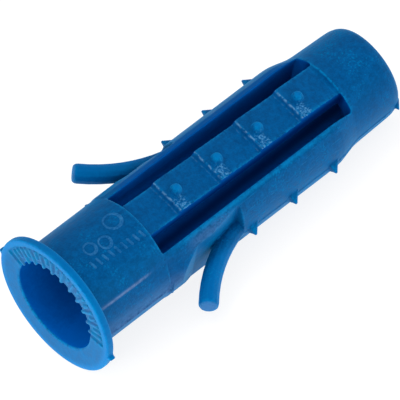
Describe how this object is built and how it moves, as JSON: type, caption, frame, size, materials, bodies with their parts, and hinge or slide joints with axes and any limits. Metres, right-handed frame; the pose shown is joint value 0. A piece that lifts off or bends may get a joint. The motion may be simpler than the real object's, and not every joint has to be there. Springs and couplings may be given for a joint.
{
  "type": "expansion plug",
  "caption": "Plastic wall plug: collar and plain neck, toothed tongues between side shells that carry swept whiskers and spikes, and a closed tapered nose, all round a screw bore.",
  "frame": {"origin": "under the middle of the plug's box, on the surface that it lies on", "axes": "+X along the plug from the collar to the nose, which lies 3.5 degrees down because the plug rests on the rims of both; the upper toothed tongue leans 30 degrees from +Z towards -Y, and the whiskers stand out 30 degrees above +Y and below -Y"},
  "size_m": [0.0292, 0.0124, 0.0104],
  "materials": {
    "blue_plastic": "moulded semi-gloss polypropylene, solid blue"
  },
  "bodies": {
    "root": {"plug_body": "blue_plastic"}
  },
  "joints": []
}
